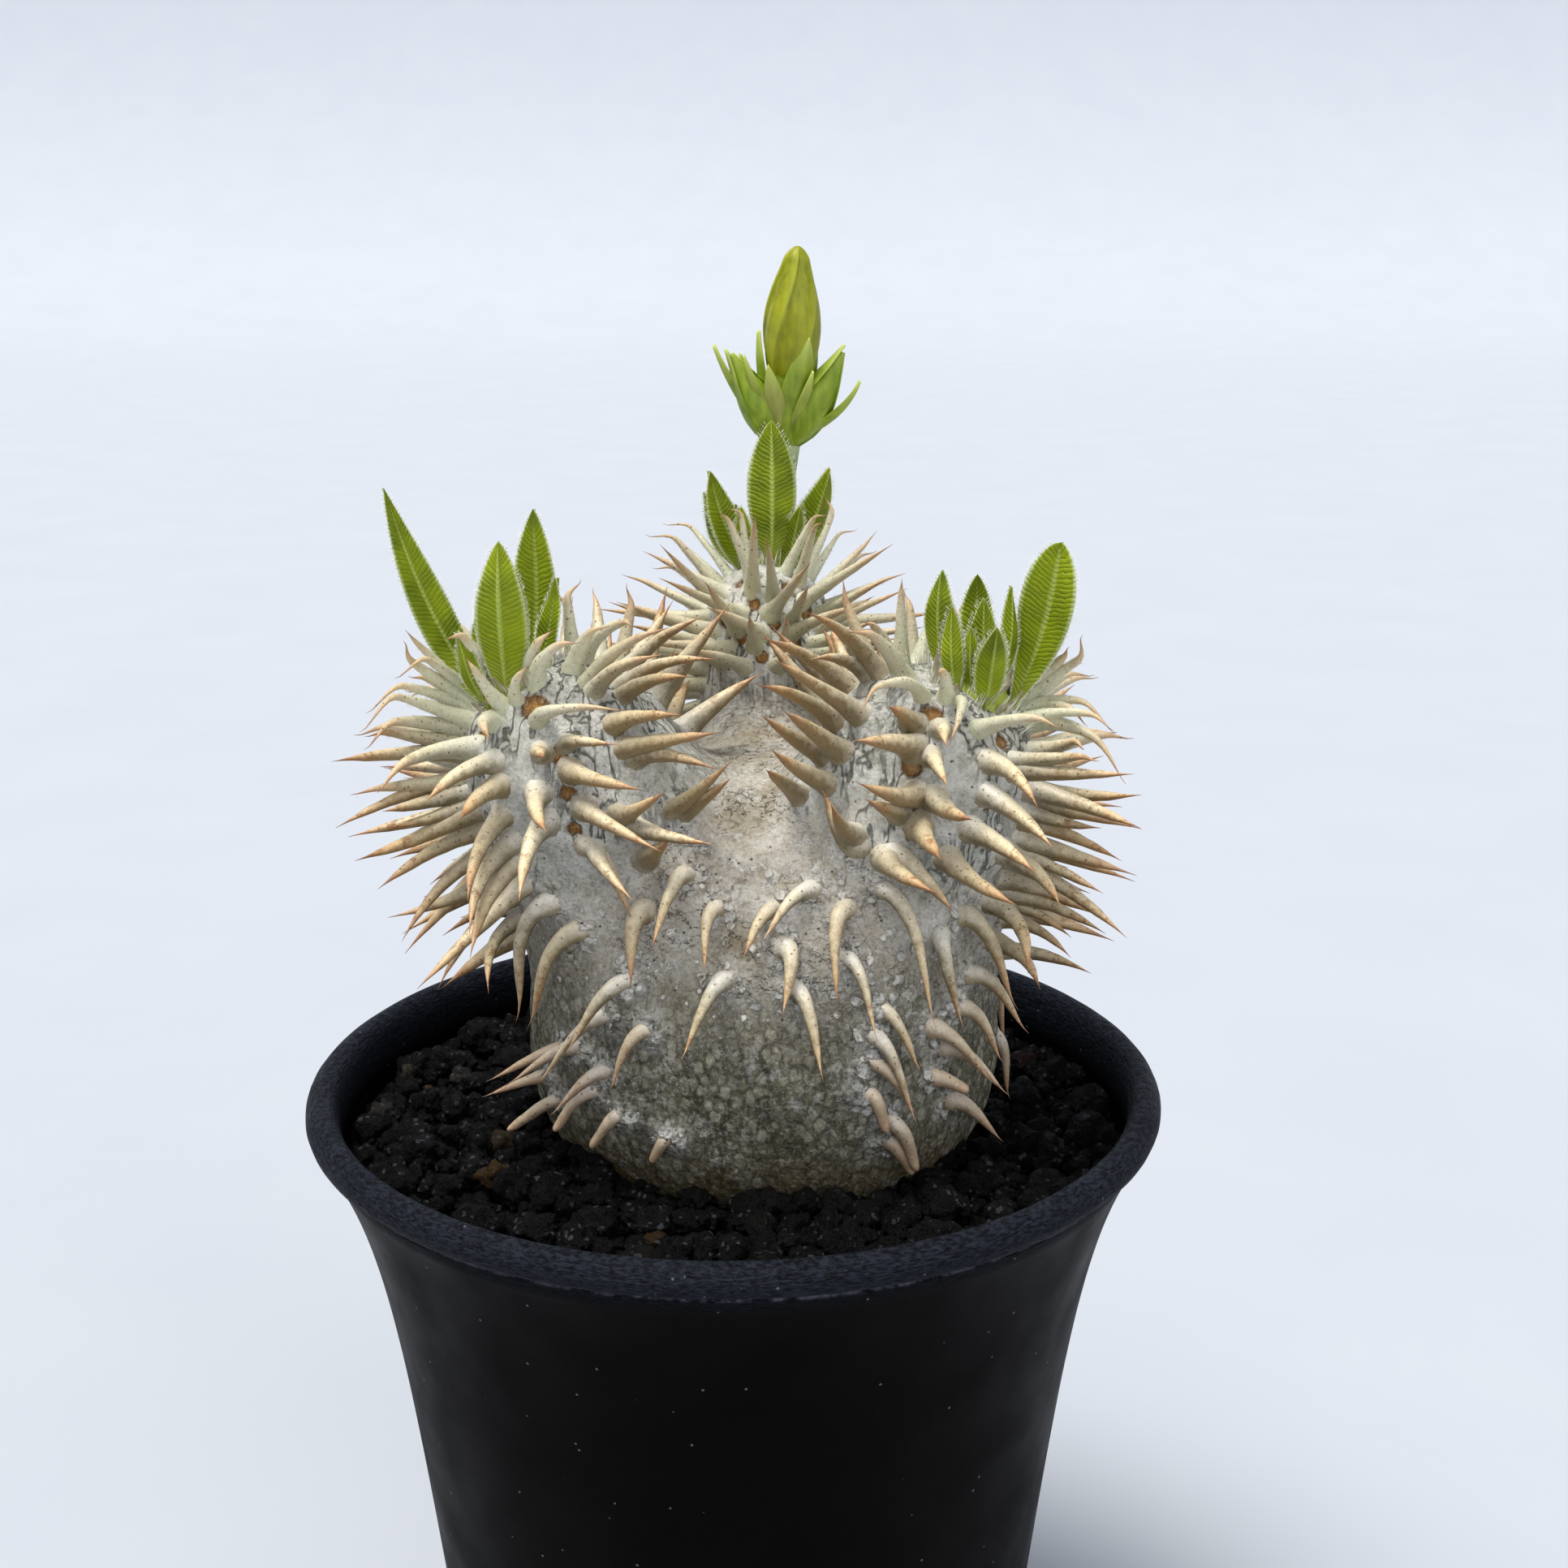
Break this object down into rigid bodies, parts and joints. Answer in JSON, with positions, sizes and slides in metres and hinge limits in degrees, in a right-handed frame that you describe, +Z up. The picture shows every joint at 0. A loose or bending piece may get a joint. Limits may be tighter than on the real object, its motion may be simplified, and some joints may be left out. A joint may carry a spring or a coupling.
{
  "type": "potted pachypodium enigmaticum",
  "caption": "Squat spiny caudex plant with short arms, young leaves and a budding flower stalk, in a flared round pot of dark granules.",
  "frame": {"origin": "centre of the pot's foot, on the surface that it stands on", "axes": "+Z up, -Y towards the side that the picture shows, +X to that viewer's right"},
  "size_m": [0.105, 0.105, 0.1964],
  "materials": {
    "pot": "matt black moulded plastic",
    "soil": "charcoal-coloured crumbly granules",
    "caudex": "grey-green cracked bark and tan spines with red-brown tips",
    "leaf": "fresh green, softly shining, with a pale midrib",
    "stalk": "grey-green, finely downy",
    "bud": "yellow-green folded petals"
  },
  "bodies": {
    "root": {"pot": "pot", "soil": "soil", "caudex": "caudex", "leaves_left": "leaf", "leaves_right": "leaf", "leaves_back": "leaf", "flower_stalk": "stalk", "flower_bud": "bud"}
  },
  "joints": []
}
